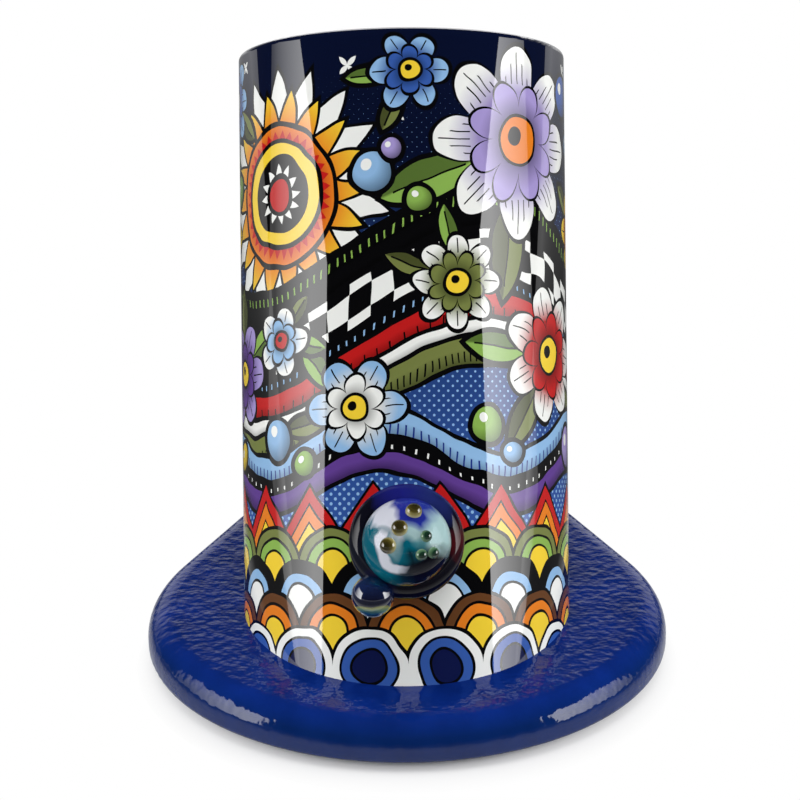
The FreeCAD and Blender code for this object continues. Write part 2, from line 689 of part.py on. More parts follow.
# Raised dots on the dome, each at a turn round the knob's axis and a tilt away from it, in degrees
DOTS = ((13, 46, "large_dot_radius"), (-24, 22, "large_dot_radius"), (-96, 24, "large_dot_radius"),
        (70, 27, "small_dot_radius"), (128, 24, "small_dot_radius"), (110, 38, "small_dot_radius"))
dots = []
for number, (turn, tilt, radius) in enumerate(DOTS, start=1):
    at = ("dome_radius * sin(%d) * sin(%d)" % (tilt, turn), "-(skirt_face + dome_radius * cos(%d))" % tilt,
          "knob_height + dome_radius * sin(%d) * cos(%d)" % (tilt, turn))
    dots.append(cut("dot_%d" % number, ball("dot_ball_%d" % number, radius, at, "-Y"), knob_seat))
node(group("knob_dots", dots))

# Control board on four standoffs in front of the chassis, with its parts on the front face
board_screws = []
board_holes = []
standoffs = []
for key, sx, sy in CORNERS:
    x = "%sstandoff_x" % sx
    height = "board_top - board_screw_inset" if key.endswith("rear") else "board_foot + board_screw_inset"
    board_holes.append(rod("board_hole_" + key, SMALL_FIT, "-board_face",
                           "-board_depth", x, height))
    post = rod("standoff_post_" + key, "standoff_radius", "-board_depth", "chassis_depth", x, height)
    bore = rod("standoff_bore_" + key, SMALL_FIT, "-board_depth",
               "-board_depth + board_screw_bite + screw_end_gap", x, height)
    standoffs.append(cut("standoff_" + key, post, bore))
    head = rod("board_head_" + key, "small_head_radius", "-board_face - small_head_height", "-board_face", x,
               height)
    shank = rod("board_shank_" + key, "small_screw_radius", "-board_face - small_head_height",
                "-board_depth + board_screw_bite", x, height)
    board_screws.append(fuse("board_screw_" + key, head, shank))
board = box("board_sheet", "tube", ("2 * board_half_width", "board_thickness", "board_length"),
            ("-board_half_width", "-board_face", "board_foot"))
node(cut("control_board", board, *board_holes))
node(group("board_standoffs", standoffs))
node(group("board_screws", board_screws))


def on_board(name, size, x, foot):
    """A box on the board's front face, its size given across, out from the board and up."""
    across, out, up = size
    return box(name, "tube", (across, out, up), (x, "-board_face - (%s)" % out, "board_foot + %s" % foot))


FIN_COUNT = 5
fin_step = "(2 * heatsink_half_width - heatsink_fin_thickness) / %d" % (FIN_COUNT - 1)
sink_parts = [on_board("heatsink_plate", ("2 * heatsink_half_width", "heatsink_base", "heatsink_height"),
                       "-heatsink_half_width", "heatsink_foot")]
for number in range(FIN_COUNT):
    sink_parts.append(on_board("heatsink_fin_%d" % number,
                               ("heatsink_fin_thickness", "heatsink_base + heatsink_fin", "heatsink_height"),
                               "-heatsink_half_width + %d * %s" % (number, fin_step), "heatsink_foot"))
node(fuse("triac_heatsink", *sink_parts))
node(on_board("triac", ("triac_width", "triac_thickness", "triac_height"), "triac_left", "triac_foot"))
node(torus("filter_choke", "tube", "choke_radius", "choke_section",
           ("-board_half_width + parts_inset + choke_radius + choke_section", "-board_face - choke_section",
            "board_foot + choke_foot + choke_radius + choke_section")))
node(on_board("filter_capacitor", ("capacitor_width", "capacitor_thickness", "capacitor_height"),
              "board_half_width - capacitor_width - parts_inset", "capacitor_foot"))
node(on_board("terminal_block", ("2 * terminal_half_width", "terminal_thickness", "terminal_height"),
              "-terminal_half_width", "terminal_foot"))

# Leads: the heater's pair goes over and through the chassis, the control's three go up to the board
heater_leads = []
for key, sign in SIDES:
    x = "%slead_spacing" % sign
    ahead = "-board_face - terminal_thickness / 2"
    behind = "chassis_back + heater_block_length / 2"
    block_rise = "sqrt(heater_block_radius ^ 2 - (lead_spacing - lead_radius) ^ 2)"
    block_skin = "heater_height + %s + seat_clearance" % block_rise
    points = ((x, ahead, "board_foot + terminal_foot + terminal_height"), (x, ahead, "lead_hole_height"),
              (x, behind, "lead_hole_height"), (x, behind, block_skin))
    heater_leads.append(lead(points, value("lead_radius"), value("lead_bend")))
node(lead_group("heater_leads", heater_leads))
control_leads = []
for place_no in (-1, 0, 1):
    x = "%d * lead_spacing" % place_no
    middle = "-board_depth - board_thickness / 2"
    points = ((x, "-control_back", "knob_height"), (x, middle, "knob_height"), (x, middle, "board_foot"))
    control_leads.append(lead(points, value("control_lead_radius"), value("lead_bend")))
node(lead_group("dimmer_leads", control_leads))

doc.recompute()
for part in doc.Objects:
    if "Invalid" in part.State or "Error" in part.State:
        raise RuntimeError("%s failed: %s" % (part.Name, part.State))
for part in NODES:
    shape = part.Shape
    if shape.isNull() or not shape.isValid() or shape.Volume <= 0:
        raise RuntimeError("%s has no valid shape" % part.Label)

os.makedirs("parts", exist_ok=True)
for part in NODES:
    part.Shape.exportStep("parts/%s.step" % part.Label)
    print("%-20s %2d solids %10.1f mm3" % (part.Label, len(part.Shape.Solids), part.Shape.Volume))
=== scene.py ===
import json
import math

import bmesh
import bpy
from mathutils import Matrix, Vector


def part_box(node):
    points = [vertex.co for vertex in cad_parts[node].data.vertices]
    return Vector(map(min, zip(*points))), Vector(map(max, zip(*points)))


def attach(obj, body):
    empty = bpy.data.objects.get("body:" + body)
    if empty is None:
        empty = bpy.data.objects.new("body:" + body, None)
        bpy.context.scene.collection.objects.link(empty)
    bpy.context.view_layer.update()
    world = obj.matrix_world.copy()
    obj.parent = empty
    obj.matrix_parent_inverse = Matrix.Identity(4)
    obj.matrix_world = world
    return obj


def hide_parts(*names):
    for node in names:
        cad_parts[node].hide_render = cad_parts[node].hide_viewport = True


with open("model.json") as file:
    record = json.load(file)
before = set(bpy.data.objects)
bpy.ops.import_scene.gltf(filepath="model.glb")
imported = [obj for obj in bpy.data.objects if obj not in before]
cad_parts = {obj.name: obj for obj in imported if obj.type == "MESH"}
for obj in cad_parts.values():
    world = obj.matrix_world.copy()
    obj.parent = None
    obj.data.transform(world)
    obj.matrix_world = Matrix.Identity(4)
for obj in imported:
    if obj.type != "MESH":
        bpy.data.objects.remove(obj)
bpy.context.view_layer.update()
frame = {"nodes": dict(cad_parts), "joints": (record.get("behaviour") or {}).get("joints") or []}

scene = bpy.context.scene
nodes = frame["nodes"]
joint = frame["joints"][0]

# Sizes are in millimetres where they are multiplied by this
MM = 0.001

# The leaning tube: the way to the rear, the way up its axis, its foot on the base plate, and its sizes
DEPTH = Vector(joint["axis"])
UP = Vector((0, -DEPTH.z, DEPTH.y))
LEAN = math.atan2(UP.y, UP.z)
FOOT = Vector((0, 0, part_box("base_plate")[1].z))
TUBE_RADIUS = 44.45
TUBE_LENGTH = 149.3

# The print goes round the tube in two copies, and this is the width of one
PRINT_WIDTH = math.pi * TUBE_RADIUS

# The knob, in millimetres: heights are measured out from the tube's axis
KNOB_CENTRE = Vector(joint["pos_m"])
KNOB_BACK = 47.05
SKIRT_FACE = 58.05
SKIRT_RADIUS = 14.6
SKIRT_ROUND = 4.6
RECESS_RADIUS = 9.2
RECESS_FLOOR = KNOB_BACK + 5.4
INSERT_HOLE = 5.6
HOLE_MOUTH = 6.5
MOUTH_DEPTH = 0.2
DOME_RADIUS = 11.2
DOME_GAP = 0.05
DOME_BEVEL = 0.4
CORE_RADIUS = 10.4
CORE_RISE = 9.7
CORE_GAP = 0.3
CORE_DISH = 0.05

WHITE = (0.85, 0.86, 0.83)
BLACK = (0.0015, 0.0015, 0.002)
NAVY = (0.004, 0.008, 0.06)
COBALT = (0.010, 0.025, 0.20)
SKY = (0.035, 0.10, 0.38)
PALE_BLUE = (0.26, 0.46, 0.72)
OLIVE = (0.17, 0.20, 0.055)
LIME = (0.24, 0.42, 0.08)
YELLOW = (0.85, 0.60, 0.04)
ORANGE = (0.74, 0.20, 0.015)
RED = (0.50, 0.012, 0.012)
PURPLE = (0.11, 0.045, 0.26)
LILAC = (0.36, 0.29, 0.60)
BROWN = (0.12, 0.045, 0.015)
NIGHT = (0.0015, 0.004, 0.022)
BARE_METAL = (0.55, 0.55, 0.57)


def darker(colour, share):
    return tuple(part * share for part in colour)


class Field:
    """A value that changes over a surface, put together with plain arithmetic."""

    def __init__(self, tree, socket):
        self.tree = tree
        self.socket = socket

    def math(self, operation, *others):
        step = self.tree.nodes.new("ShaderNodeMath")
        step.operation = operation
        for slot, given in zip(step.inputs, (self,) + others):
            if isinstance(given, Field):
                self.tree.links.new(given.socket, slot)
            else:
                slot.default_value = given
        return Field(self.tree, step.outputs[0])

    def __add__(self, other):
        return self.math("ADD", other)

    def __sub__(self, other):
        return self.math("SUBTRACT", other)

    def __mul__(self, other):
        return self.math("MULTIPLY", other)

    def __rsub__(self, other):
        return self * -1.0 + other

    def __truediv__(self, other):
        return self.math("DIVIDE", other)

    def __rtruediv__(self, other):
        return self.math("POWER", -1.0) * other

    def size(self):
        return self.math("ABSOLUTE")

    def wave(self, length):
        """A sine of that wavelength, from -1 to 1."""
        return (self * (2 * math.pi / length)).math("SINE")

    def teeth(self, pitch):
        """A saw of straight flanks, from 0 to 1 and back over one pitch."""
        return self.math("PINGPONG", pitch / 2) / (pitch / 2)

    def within(self, low, high):
        """0 at low and 1 at high, and no further."""
        # The node's own clamp isn't used: with it the long print runs out of shader stack
        return ((self - low) / (high - low)).math("MAXIMUM", 0.0).math("MINIMUM", 1.0)

    def below(self, limit):
        return self.math("LESS_THAN", limit)


def new_material(name):
    material = bpy.data.materials.new(name)
    material.use_nodes = True
    material.node_tree.nodes.clear()
    return material


def fill_sockets(tree, made, given_by_key):
    """Set a node's sockets from plain values, or join them to other sockets."""
    for key, given in dict(given_by_key).items():
        slot = made.inputs[key]
        if isinstance(given, Field):
            given = given.socket
        if isinstance(given, bpy.types.NodeSocket):
            tree.links.new(given, slot)
        elif slot.type == "RGBA":
            slot.default_value = tuple(given) + (1.0,)
        else:
            slot.default_value = given


def add_node(tree, kind, sockets=(), **values):
    """A node with its own settings, and its sockets filled."""
    made = tree.nodes.new(kind)
    for key, given in values.items():
        setattr(made, key, given)
    fill_sockets(tree, made, sockets)
    return made


def blend(tree, share, first, second):
    """One colour going over into another."""
    made = add_node(tree, "ShaderNodeMix", data_type="RGBA", clamp_factor=True)
    fill_sockets(tree, made, {0: share, 6: first, 7: second})
    return made.outputs[2]


def shade(material, **sockets):
    """The material's own surface, joined to its output."""
    tree = material.node_tree
    named = {key.replace("_", " "): given for key, given in sockets.items()}
    surface = add_node(tree, "ShaderNodeBsdfPrincipled", named)
    add_node(tree, "ShaderNodeOutputMaterial", {"Surface": surface.outputs[0]})


def lay_along_tube(tree, centre):
    """Object coordinates in millimetres from a centre: X across, Y to the rear, Z up the tube's axis."""
    spot = add_node(tree, "ShaderNodeTexCoord")
    lay = add_node(tree, "ShaderNodeMapping", vector_type="TEXTURE", sockets={
        "Vector": spot.outputs["Object"], "Location": centre,
        "Rotation": (-LEAN, 0, 0), "Scale": (MM, MM, MM)})
    return lay.outputs[0]


def split(tree, vector):
    parts = add_node(tree, "ShaderNodeSeparateXYZ", {0: vector})
    return [Field(tree, out) for out in parts.outputs]


def new_group(name, inputs, outputs, kind="ShaderNodeTree"):
    """An empty node group whose sockets are given by the type of socket, and what comes in by them."""
    group = bpy.data.node_groups.new(name, kind)
    for way, sockets in (("INPUT", inputs), ("OUTPUT", outputs)):
        for socket, names in sockets:
            for key in names:
                group.interface.new_socket(name=key, in_out=way, socket_type="NodeSocket" + socket)
    return group, group.nodes.new("NodeGroupInput").outputs


def grain_group():
    """Fine uneven grain: a height for bumps, a roughness that wanders about a middle and a tint."""
    group, given = new_group(
        "surface_grain", [("Vector", ["Vector"]), ("Float", ["Scale", "Roughness", "Spread"])],
        [("Float", ["Height", "Roughness", "Tint"])])
    fine = add_node(group, "ShaderNodeTexNoise", {"Vector": given["Vector"], "Scale": given["Scale"],
                                                  "Detail": 4.0, "Roughness": 0.6})
    height = Field(group, fine.outputs[0])
    wander = (height - 0.5) * Field(group, given["Spread"]) + Field(group, given["Roughness"])
    tint = height.within(0.3, 0.7)
    add_node(group, "NodeGroupOutput", {"Height": height, "Roughness": wander, "Tint": tint})
    return group


SURFACE_GRAIN = grain_group()


def ink_group():
    """A fill with a black line round it over what is under it, and a share that takes it to its shade."""
    group, given = new_group(
        "inked_fill", [("Color", ["Under"]), ("Float", ["Distance"]), ("Color", ["Shade", "Fill"]),
                       ("Float", ["Share", "Line"])], [("Color", ["Colour"])])
    distance = Field(group, given["Distance"])
    lined = blend(group, distance.below(Field(group, given["Line"])), given["Under"], BLACK)
    shaded = blend(group, given["Share"], given["Shade"], given["Fill"])
    add_node(group, "NodeGroupOutput", {"Colour": blend(group, distance.below(0.0), lined, shaded)})
    return group


INKED_FILL = ink_group()

# The width of the black line round most shapes
OUTLINE = 1.3


class Print:
    """A colour print built up shape by shape, in millimetres round and along the tube."""

    def __init__(self, tree, around, along, colour):
        self.tree = tree
        self.round = around
        self.along = along
        self.colour = colour

    def ink(self, distance, fill, line=OUTLINE, shade=BLACK, share=1.0):
        """Fill where the distance is below 0, from the shade to the fill, with a black line round it."""
        step = add_node(self.tree, "ShaderNodeGroup", node_tree=INKED_FILL, sockets={
            "Under": self.colour, "Distance": distance, "Line": line,
            "Share": share, "Shade": shade, "Fill": fill})
        self.colour = step.outputs[0]

    def stamp(self, shape, *given):
        """Draw a shape that has a node group of its own."""
        step = add_node(self.tree, "ShaderNodeGroup", node_tree=shape)
        fill_sockets(self.tree, step, enumerate((self.round, self.along, self.colour) + given))
        self.colour = step.outputs[0]

    def darker(self, colour, share):
        return blend(self.tree, share, (0.0, 0.0, 0.0), colour)

    def at(self, round_place, along_place):
        """Distances from a point of the print, which comes back on the tube's other half."""
        across = (self.round - round_place).math("WRAP", -PRINT_WIDTH / 2, PRINT_WIDTH / 2)
        return across, self.along - along_place

    def polar(self, round_place, along_place):
        """Reach and angle from a point of the print."""
        across, along = self.at(round_place, along_place)
        return (across * across + along * along).math("SQRT"), along.math("ARCTAN2", across)

    def from_ribbon(self, middle, swing, turns, shift):
        """The height over the middle of a band that winds up and down on its way round the tube."""
        bend = (self.round * turns * (2 * math.pi / PRINT_WIDTH) + shift).math("SINE")
        return self.along - bend * swing - middle


def draw_star(art, round_place, along_place, size):
    """A white star with four points."""
    reach, angle = art.polar(round_place, along_place)
    art.ink(reach - angle.teeth(math.pi / 2) * (size - 0.3) - 0.3, WHITE, 0.0)


def draw_sun(art, round_place, along_place):
    """A round face of rings inside two rings of pointed rays."""
    reach, angle = art.polar(round_place, along_place)

    def rays(count, inner, outer, line, root, fill):
        edge = reach - angle.teeth(2 * math.pi / count) * (outer - inner) - inner
        art.ink(edge, fill, line, root, reach.within(inner, outer))

    rays(18, 22.0, 33.0, 2.0, WHITE, WHITE)
    angle = angle + math.pi / 18
    rays(18, 18.0, 27.0, 2.0, ORANGE, YELLOW)
    art.ink(reach - 18.0, ORANGE, OUTLINE, RED, reach.within(13.0, 18.0))
    rays(36, 14.5, 17.0, 0.0, RED, RED)
    art.ink(reach - 13.5, YELLOW)
    art.ink(reach - 9.0, BLACK)
    rays(12, 4.6, 7.8, 0.0, WHITE, WHITE)
    art.ink(reach - 4.0, RED)


def draw_flower(art, round_place, along_place, size, count, outer, inner, heart):
    """Two rows of petals, with fine lines along the outer ones, and a heart."""
    reach, angle = art.polar(round_place, along_place)

    def petals(start, end, turn, line, fill, root, fade_start, fade_end):
        """A row of petals between two shares of the flower's size, dark at the root."""
        lobe = (angle * count * 0.5 + turn).math("COSINE").size().math("POWER", 0.6)
        edge = reach - (lobe * (end - start) + start) * size
        art.ink(edge, fill, line, root, reach.within(size * fade_start, size * fade_end))

    petals(0.5, 1.0, 0.0, 1.2, outer, art.darker(inner, 0.8), 0.5, 0.85)
    aside = angle.math("PINGPONG", math.pi / count) * reach
    ends = (reach + aside * 1.6 - size * 0.95).math("MAXIMUM", size * 0.6 - reach)
    art.ink((aside.math("PINGPONG", 1.0) - 0.17).math("MAXIMUM", ends), BLACK, 0.0)
    petals(0.32, 0.62, math.pi / 2, 0.8, inner, art.darker(inner, 0.35), 0.25, 0.5)
    art.ink(reach - size * 0.24, heart, 0.8)
    pupil = art.polar(round_place - size * 0.05, along_place + size * 0.05)[0]
    art.ink(pupil - size * 0.09, BLACK, 0.0)


def draw_leaf(art, round_place, along_place, turn, length, width, fill):
    """A pointed leaf, dark in its lower half and with a line down its middle."""
    across, along = art.at(round_place, along_place)
    tip = across * turn.math("COSINE") + along * turn.math("SINE")
    side = along * turn.math("COSINE") - across * turn.math("SINE")
    flank = (length * length - width * width) / (width * 4.0)
    bow = side.size() + flank
    edge = (tip * tip + bow * bow).math("SQRT") - flank - width * 0.5
    art.ink(edge, fill, OUTLINE, art.darker(fill, 0.35), side.within(-0.3, 0.3))
    art.ink((side.size() - 0.25).math("MAXIMUM", tip.size() - length * 0.38), BLACK, 0.0)


def draw_bubble(art, round_place, along_place, radius, fill):
    """A ball that is darker at its lower right, with a light spot."""
    reach = art.polar(round_place, along_place)[0]
    lit = art.polar(round_place - radius * 0.35, along_place + radius * 0.35)[0]
    art.ink(reach - radius, art.darker(fill, 0.3), OUTLINE, fill, lit.within(radius * 0.6, radius * 1.5))
    art.ink(lit - radius * 0.28, WHITE, 0.0)


def draw_ribbon(art, middle, width, swing, turns, shift, fill):
    """A winding band, darker along its lower edge."""
    height = art.from_ribbon(middle, swing, turns, shift)
    share = height.within(width * -0.45, width * 0.1)
    art.ink(height.size() - width * 0.5, fill, OUTLINE, art.darker(fill, 0.45), share)


def draw_ticks(art, middle, length, swing, turns, shift, pitch, fill):
    """Short strokes in a row along a winding band."""
    beside = art.from_ribbon(middle, swing, turns, shift).size() - length * 0.5
    art.ink((art.round.math("PINGPONG", pitch * 0.5) - 0.22).math("MAXIMUM", beside), fill, 0.0)


def draw_checks(art, middle, width, swing, turns, shift, pitch):
    """A winding band of black and white squares."""
    height = art.from_ribbon(middle, swing, turns, shift)
    column = art.round.math("PINGPONG", pitch).below(pitch * 0.5)
    row = height.math("PINGPONG", pitch).below(pitch * 0.5)
    art.ink(height.size() - width * 0.5, WHITE, OUTLINE, BLACK, (column - row).size())


def draw_scales(art, crest, pitch, offset, fill, band, heart):
    """A row of overlapping round scales with two bands inside each."""
    across = (art.round + offset).math("WRAP", pitch * 0.5, pitch * -0.5)
    along = art.along - crest + pitch * 0.5
    reach = (across * across + along * along).math("SQRT")
    under = along.below(0.0)
    well_inside = 5.0
    art.ink((reach - pitch * 0.5) * (1.0 - under) - under * well_inside, fill, 0.9)
    for ring, tone in ((0.72, band), (0.42, heart)):
        art.ink(reach.math("MAXIMUM", along * -1.0) - pitch * 0.5 * ring, tone, 0.72)


def shape_group(name, draw, numbers, colours):
    """A node group that draws one shape over what is under it, with its sizes and colours as inputs."""
    group, given = new_group(
        name, [("Float", ["Round", "Along"]), ("Color", ["Under"]), ("Float", numbers), ("Color", colours)],
        [("Color", ["Colour"])])
    art = Print(group, Field(group, given["Round"]), Field(group, given["Along"]), given["Under"])
    draw(art, *(Field(group, given[key]) for key in numbers), *(given[key] for key in colours))
    add_node(group, "NodeGroupOutput", {"Colour": art.colour})
    return group


PLACE = ("Round Place", "Along Place")
WINDING = ("Middle", "Width", "Swing", "Turns", "Shift")
STAR = shape_group("inked_star", draw_star, PLACE + ("Size",), ())
SUN = shape_group("inked_sun", draw_sun, PLACE, ())
FLOWER = shape_group("inked_flower", draw_flower, PLACE + ("Size", "Count"), ("Outer", "Inner", "Heart"))
LEAF = shape_group("inked_leaf", draw_leaf, PLACE + ("Turn", "Length", "Width"), ("Fill",))
BUBBLE = shape_group("inked_bubble", draw_bubble, PLACE + ("Radius",), ("Fill",))
RIBBON = shape_group("inked_ribbon", draw_ribbon, WINDING, ("Fill",))
TICKS = shape_group("inked_ticks", draw_ticks, WINDING + ("Pitch",), ("Fill",))
CHECKS = shape_group("inked_checks", draw_checks, WINDING + ("Pitch",), ())
SCALES = shape_group("inked_scales", draw_scales, ("Crest", "Pitch", "Offset"), ("Fill", "Band", "Heart"))


def print_ground(tree, around, along):
    """Night above, blue with rows of dots below."""
    rise = along.within(-20.0, 150.0)
    ground = blend(tree, rise.within(0.15, 0.80), SKY, NIGHT)
    dot_pitch = PRINT_WIDTH / 56
    diagonal = (around + along).math("PINGPONG", dot_pitch / 2)
    counter = (around - along).math("PINGPONG", dot_pitch / 2)
    spot = (diagonal * diagonal + counter * counter).math("SQRT")
    return blend(tree, spot.below(0.85 - rise * 0.9), ground, PALE_BLUE)


def print_sky(art):
    """Small stars, and the sun."""
    for place, size in (
            ((-14.0, 140.0), 3.2), ((-1.0, 127.0), 2.2), ((12.0, 112.0), 2.8), ((-54.0, 144.0), 2.4),
            ((60.0, 143.0), 2.6), ((-64.0, 92.0), 2.2), ((66.0, 112.0), 2.4), ((-3.0, 99.0), 2.0)):
        art.stamp(STAR, *place, size)
    art.stamp(SUN, -36.0, 108.0)


def print_ribbons(art):
    """Ribbons that wind round the tube."""
    # The swing, the turns and the shift of each winding
    slow = (13.0, 1, 0.5)
    quick = (6.0, 2, 2.2)
    for middle, width, fill in ((93.0, 5.0, BLACK), (88.0, 3.6, BLACK), (71.0, 3.6, BLACK),
                                (65.5, 6.0, RED), (60.0, 3.6, WHITE), (54.0, 7.0, OLIVE)):
        art.stamp(RIBBON, middle, width, *slow, fill)
    art.stamp(CHECKS, 79.5, 11.0, *slow, PRINT_WIDTH / 24)
    for middle, length, count, fill in ((93.0, 2.2, 64, LIME), (64.0, 2.0, 40, BLACK),
                                        (52.6, 3.0, 80, BLACK), (71.0, 1.4, 56, PALE_BLUE)):
        art.stamp(TICKS, middle, length, *slow, PRINT_WIDTH / count, fill)
    for middle, width, fill in ((42.0, 6.0, PALE_BLUE), (37.0, 3.0, BLACK), (33.0, 5.0, PURPLE)):
        art.stamp(RIBBON, middle, width, *quick, fill)
    art.stamp(TICKS, 41.0, 2.4, *quick, PRINT_WIDTH / 72, COBALT)
    art.stamp(TICKS, 37.0, 1.0, *quick, PRINT_WIDTH / 48, WHITE)


def print_flowers(art):
    """Flowers with leaves behind them."""
    # Place, size, count of petals, colours of the outer and the inner petals and of the heart, and the
    # way in degrees that the leaves point
    flowers = (((33.0, 121.0), 25.0, 8, WHITE, LILAC, ORANGE, 232),
               ((-13.0, 52.0), 13.0, 6, PALE_BLUE, WHITE, YELLOW, 165),
               ((46.0, 66.0), 18.0, 7, WHITE, RED, YELLOW, 205),
               ((-58.0, 62.0), 14.0, 6, LILAC, PURPLE, YELLOW, 60),
               ((2.0, 138.0), 10.0, 6, PALE_BLUE, SKY, YELLOW, 215),
               ((-66.0, 136.0), 13.0, 8, PALE_BLUE, SKY, WHITE, 300),
               ((68.0, 100.0), 11.0, 6, YELLOW, ORANGE, RED, 110),
               ((-36.0, 70.0), 9.0, 5, WHITE, PALE_BLUE, RED, 20),
               ((14.0, 84.0), 12.0, 8, WHITE, OLIVE, YELLOW, 130))
    for (round_place, along_place), size, *_, leaves in flowers:
        for fill, aside in ((LIME, -30), (OLIVE, 30)):
            turn = math.radians(leaves + aside)
            out = size * 1.12
            art.stamp(LEAF, round_place + out * math.cos(turn), along_place + out * math.sin(turn),
                      turn, size * 1.1, size * 0.42, fill)
    for place, size, *petals, _ in flowers:
        art.stamp(FLOWER, *place, size, *petals)


def print_bubbles(art):
    """Balls in the gaps between the flowers."""
    for place, radius, fill in (
            ((-8.0, 112.0), 5.0, PALE_BLUE), ((4.0, 105.0), 3.2, LIME), ((-3.0, 118.0), 2.6, LILAC),
            ((58.0, 136.0), 5.5, SKY), ((65.0, 124.0), 3.0, PALE_BLUE), ((-62.0, 112.0), 4.0, LIME),
            ((22.0, 47.0), 4.5, LIME), ((30.0, 40.0), 3.0, PALE_BLUE), ((-38.0, 44.0), 5.0, PALE_BLUE),
            ((-28.0, 38.0), 3.0, LIME), ((60.0, 42.0), 5.0, LILAC), ((-60.0, 40.0), 3.5, YELLOW)):
        art.stamp(BUBBLE, *place, radius, fill)


def print_foot(art):
    """Rows of round scales at the foot, with a zigzag above them."""
    zigzag = art.along - art.round.teeth(PRINT_WIDTH / 8) * 12.0
    for crest, fill, line in ((20.0, RED, 1.2), (15.5, ORANGE, 0.8), (11.0, YELLOW, 0.8)):
        art.ink(zigzag - crest, fill, line)
    pitch = PRINT_WIDTH / 7
    rows = ((OLIVE, LIME, YELLOW), (BLACK, PALE_BLUE, WHITE), (BROWN, ORANGE, YELLOW), (WHITE, SKY, NAVY))
    for row, tones in enumerate(rows):
        art.stamp(SCALES, 21.0 - 8.5 * row, pitch, pitch / 2 * (row % 2), *tones)


def print_material():
    """A clear-coated colour print: a sun and flowers over ribbons, with rows of scales at the foot."""
    material = new_material("tube_print")
    tree = material.node_tree
    lay = lay_along_tube(tree, FOOT)
    across, rear, along = split(tree, lay)
    around = across.math("ARCTAN2", rear * -1.0) * TUBE_RADIUS
    ground = print_ground(tree, around, along)

    # Lines that sway a little, as drawn by hand
    shaky = add_node(tree, "ShaderNodeTexNoise", {"Vector": lay, "Scale": 0.09, "Detail": 1.0})
    sway = (Field(tree, shaky.outputs[0]) - 0.5) * 3.2
    art = Print(tree, around + sway * 0.7, along + sway, ground)
    for part in (print_sky, print_ribbons, print_flowers, print_bubbles, print_foot):
        part(art)

    # Bare metal inside and on the cut ends
    skin = 0.4
    outside = (across * across + rear * rear).math("GREATER_THAN", (TUBE_RADIUS - skin) ** 2)
    colour = blend(tree, outside, BARE_METAL, art.colour)
    shade(material, Base_Color=colour, Roughness=0.5, Specular_IOR_Level=0.0,
          Coat_Weight=1.0, Coat_Roughness=0.02)
    return material


def base_paint():
    """Thick gloss paint, rippled on the flat top and smoother down the edge, with painted shade that
    darkens the edge and a lighter blue painted on the top as if lit from above.
    """
    material = new_material("base_paint")
    tree = material.node_tree
    spot = add_node(tree, "ShaderNodeTexCoord").outputs["Object"]
    ripple = add_node(tree, "ShaderNodeTexNoise", {"Vector": spot, "Scale": 420.0,
                                                   "Detail": 1.0, "Roughness": 0.4})
    cloud = add_node(tree, "ShaderNodeTexNoise", {"Vector": spot, "Scale": 90.0, "Detail": 3.0})
    up = split(tree, spot)[2]
    flat = up.within(FOOT.z - 4.0 * MM, FOOT.z - 0.4 * MM)
    tone = Field(tree, cloud.outputs[0]).within(0.3, 0.7)
    # Painted light and shade: the flat top gets a lighter blue as if lit from above, and the rounded edge a
    # darker blue as if in shade
    lit_top_tone = blend(tree, tone, (0.002, 0.017, 0.148), (0.003, 0.023, 0.205))
    shaded_edge_tone = blend(tree, tone, (0.001, 0.013, 0.085), (0.002, 0.018, 0.115))
    colour = blend(tree, flat, shaded_edge_tone, lit_top_tone)
    relief = (Field(tree, ripple.outputs[0]) - 0.5) * (flat * 0.45 + 0.55)
    bump = add_node(tree, "ShaderNodeBump", {"Height": relief, "Strength": 0.38, "Distance": 0.0007})
    shade(material, Base_Color=colour, Roughness=0.4, Specular_IOR_Level=0.0, Normal=bump.outputs[0],
          Coat_Weight=0.7, Coat_Roughness=0.07, Coat_Normal=bump.outputs[0])
    return material


# How far the gloss of a finish wanders, and the distance between the rings of a turned one
GLOSS_SPREAD = 0.12
RING_PITCH = 0.35 * MM


def plain_finish(name, colour, roughness, metallic=0.0, scale=300.0, depth=0.00004):
    """A finish with a fine grain in its tone, its gloss and its relief."""
    material = new_material(name)
    tree = material.node_tree
    spot = add_node(tree, "ShaderNodeTexCoord").outputs["Object"]
    grain = add_node(tree, "ShaderNodeGroup", node_tree=SURFACE_GRAIN, sockets={
        "Vector": spot, "Scale": scale, "Roughness": roughness, "Spread": GLOSS_SPREAD}).outputs
    tone = blend(tree, grain["Tint"], darker(colour, 0.8), colour)
    bump = add_node(tree, "ShaderNodeBump", {"Height": grain["Height"], "Strength": 0.4, "Distance": depth})
    shade(material, Base_Color=tone, Roughness=grain["Roughness"], Metallic=metallic,
          Normal=bump.outputs[0])
    return material


def turned_finish(name, colour, roughness, axis_turn, centre):
    """Metal with the fine rings of a lathe round the piece's own axis."""
    material = new_material(name)
    tree = material.node_tree
    spot = add_node(tree, "ShaderNodeTexCoord").outputs["Object"]
    lay = add_node(tree, "ShaderNodeMapping", vector_type="TEXTURE", sockets={
        "Vector": spot, "Location": centre, "Rotation": axis_turn}).outputs[0]
    across, rear, along = split(tree, lay)
    reach = (across * across + rear * rear).math("SQRT")
    rings = (reach + along).wave(RING_PITCH) * 0.5 + 0.5
    grain = add_node(tree, "ShaderNodeGroup", node_tree=SURFACE_GRAIN, sockets={
        "Vector": lay, "Scale": 220.0, "Roughness": roughness, "Spread": GLOSS_SPREAD}).outputs
    tone = blend(tree, rings, darker(colour, 0.85), colour)
    bump = add_node(tree, "ShaderNodeBump", {"Height": rings, "Strength": 0.25, "Distance": 0.00002})
    shade(material, Base_Color=tone, Roughness=grain["Roughness"], Metallic=1.0, Normal=bump.outputs[0])
    return material


